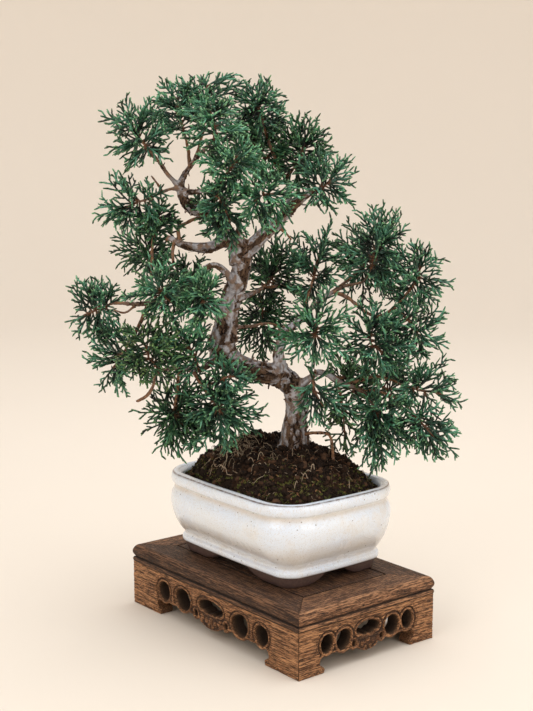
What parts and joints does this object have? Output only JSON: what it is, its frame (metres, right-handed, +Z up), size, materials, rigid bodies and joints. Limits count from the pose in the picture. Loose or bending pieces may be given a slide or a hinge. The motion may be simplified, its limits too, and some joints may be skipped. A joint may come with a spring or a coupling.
{
  "type": "bonsai tree in a pot",
  "caption": "Juniper bonsai with a bent double trunk and scale-leaved sprays, in a glazed footed pot on a carved wooden stand.",
  "frame": {"origin": "below the middle of the whole object, on the surface that the stand rests on", "axes": "+Z up along the tree; +X along the long side of the stand, with the stand's front, -Y, and its right end, +X, towards the viewer of the tree's front"},
  "size_m": [0.2446, 0.2736, 0.4829],
  "materials": {
    "stand_frame_wood": "dark brown open-grained wood, oiled, satin",
    "stand_apron_wood": "mid brown open-grained wood with dark pores, carved, matt",
    "pot_glaze": "off-white speckled glaze over purple-brown clay feet",
    "screen_net": "black moulded net",
    "soil": "crumbly dark potting soil with roots and moss",
    "bark": "grey-brown flaking juniper bark with smooth pale patches",
    "foliage_green": "blue-green scale foliage, satin",
    "foliage_bright": "brighter green scale foliage, satin",
    "foliage_deep": "deep green scale foliage, satin",
    "foliage_olive": "olive green scale foliage, satin"
  },
  "bodies": {
    "root": {"tree_wood": "bark", "foliage_top_left": "foliage_green", "foliage_top_back": "foliage_green", "foliage_top_crown": "foliage_green", "foliage_top_front": "foliage_bright", "foliage_top_right": "foliage_green", "foliage_upper_back": "foliage_deep", "foliage_upper_right": "foliage_deep", "foliage_right_tip": "foliage_green", "foliage_front_upper": "foliage_bright", "foliage_front_middle_left": "foliage_green", "foliage_front_middle_right": "foliage_bright", "foliage_middle_back": "foliage_deep", "foliage_left_upper": "foliage_green", "foliage_left_upper_low": "foliage_deep", "foliage_left_back": "foliage_deep", "foliage_left_front_outer": "foliage_bright", "foliage_left_front_inner": "foliage_bright", "foliage_far_left": "foliage_green", "foliage_left_low": "foliage_green", "foliage_left_middle_low": "foliage_olive", "foliage_left_inner_low": "foliage_green", "foliage_back_left": "foliage_deep", "foliage_hanging_left": "foliage_deep", "foliage_hanging_right": "foliage_green", "foliage_hanging_tuft": "foliage_green", "foliage_back_upper": "foliage_deep", "foliage_back_lower": "foliage_deep", "foliage_right_top_inner": "foliage_green", "foliage_right_top": "foliage_green", "foliage_right_top_outer": "foliage_green", "foliage_right_back": "foliage_deep", "foliage_front_middle": "foliage_bright", "foliage_right_inner": "foliage_green", "foliage_right_outer": "foliage_green", "foliage_front_fan": "foliage_green", "foliage_low_right_inner": "foliage_green", "foliage_low_right_outer": "foliage_green", "foliage_low_right_tip": "foliage_green", "foliage_low_right_back": "foliage_deep", "foliage_low_back_twigs": "foliage_olive", "foliage_low_thin": "foliage_olive", "stand_panel": "stand_frame_wood", "stand_rail_front": "stand_frame_wood", "stand_apron_front": "stand_apron_wood", "stand_rail_right": "stand_frame_wood", "stand_apron_right": "stand_apron_wood", "stand_rail_back": "stand_frame_wood", "stand_apron_back": "stand_apron_wood", "stand_rail_left": "stand_frame_wood", "stand_apron_left": "stand_apron_wood", "pot": "pot_glaze", "drainage_screen_left": "screen_net", "drainage_screen_right": "screen_net", "soil": "soil"}
  },
  "joints": []
}
